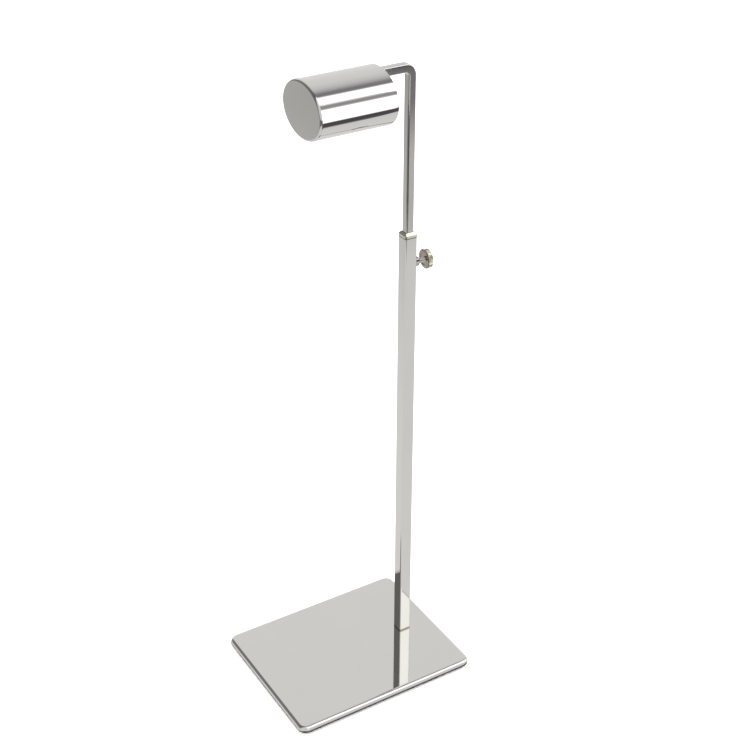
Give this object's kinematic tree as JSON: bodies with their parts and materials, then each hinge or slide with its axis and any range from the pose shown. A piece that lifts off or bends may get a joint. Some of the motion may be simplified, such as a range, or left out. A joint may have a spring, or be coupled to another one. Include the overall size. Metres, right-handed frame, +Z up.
{
  "type": "eyeglasses display stand",
  "caption": "Height-adjustable polished steel display stand: weighted rectangular base, square telescoping post with a thumb screw, and an oval drum on a forward arm.",
  "frame": {"origin": "centre of the base on the ground plane, in the plane of the feet's undersides", "axes": "+Z up along the post, the drum faces -Y, the thumb screw points to +Y, +X completes the right hand"},
  "size_m": [0.161, 0.1986, 0.6272],
  "materials": {
    "polished_steel": "mirror-polished stainless steel",
    "collar_plate": "nickel-plated brass, polished",
    "knob_plate": "nickel-plated brass, knurled",
    "ballast_steel": "mill-finish flat bar",
    "zinc_steel": "zinc plated",
    "pad_foam": "closed-cell foam sheet",
    "foot_rubber": "moulded rubber",
    "nylon": "natural nylon"
  },
  "bodies": {
    "stand": {"base_cover": "polished_steel", "base_weight": "ballast_steel", "base_pad": "pad_foam", "rubber_feet": "foot_rubber", "base_bolt": "zinc_steel", "lock_washer": "zinc_steel", "foot_plug": "zinc_steel", "outer_tube": "polished_steel", "tube_collar": "collar_plate", "guide_sleeve": "nylon", "clamp_boss": "knob_plate"},
    "mast": {"inner_rod": "polished_steel", "rod_glide": "nylon", "glide_screw": "zinc_steel", "drum_shell": "polished_steel", "front_disc": "polished_steel", "rear_disc": "polished_steel", "drum_saddle": "zinc_steel", "saddle_screws": "zinc_steel", "saddle_washers": "zinc_steel"},
    "clamp_pad": {"pressure_pad": "nylon"},
    "clamp_screw": {"thumb_screw": "knob_plate", "thumb_knob": "knob_plate"}
  },
  "joints": [
    {"name": "height_slide", "type": "slide", "parent": "stand", "child": "mast", "axis": [0, 0, 1], "range_m": [-0.14, 0.1]},
    {"name": "pad_travel", "type": "slide", "parent": "stand", "child": "clamp_pad", "axis": [0, 1, 0], "range_m": [0, 0.0017]},
    {"name": "screw_turn", "type": "hinge", "parent": "clamp_pad", "child": "clamp_screw", "pos_m": [0, 0.08315, 0.4357], "axis": [0, 1, 0], "range_deg": [0, 720]}
  ],
  "couplings": [
    {"joint": "pad_travel", "follows": "screw_turn", "m_per_rad": 0.00012732}
  ]
}
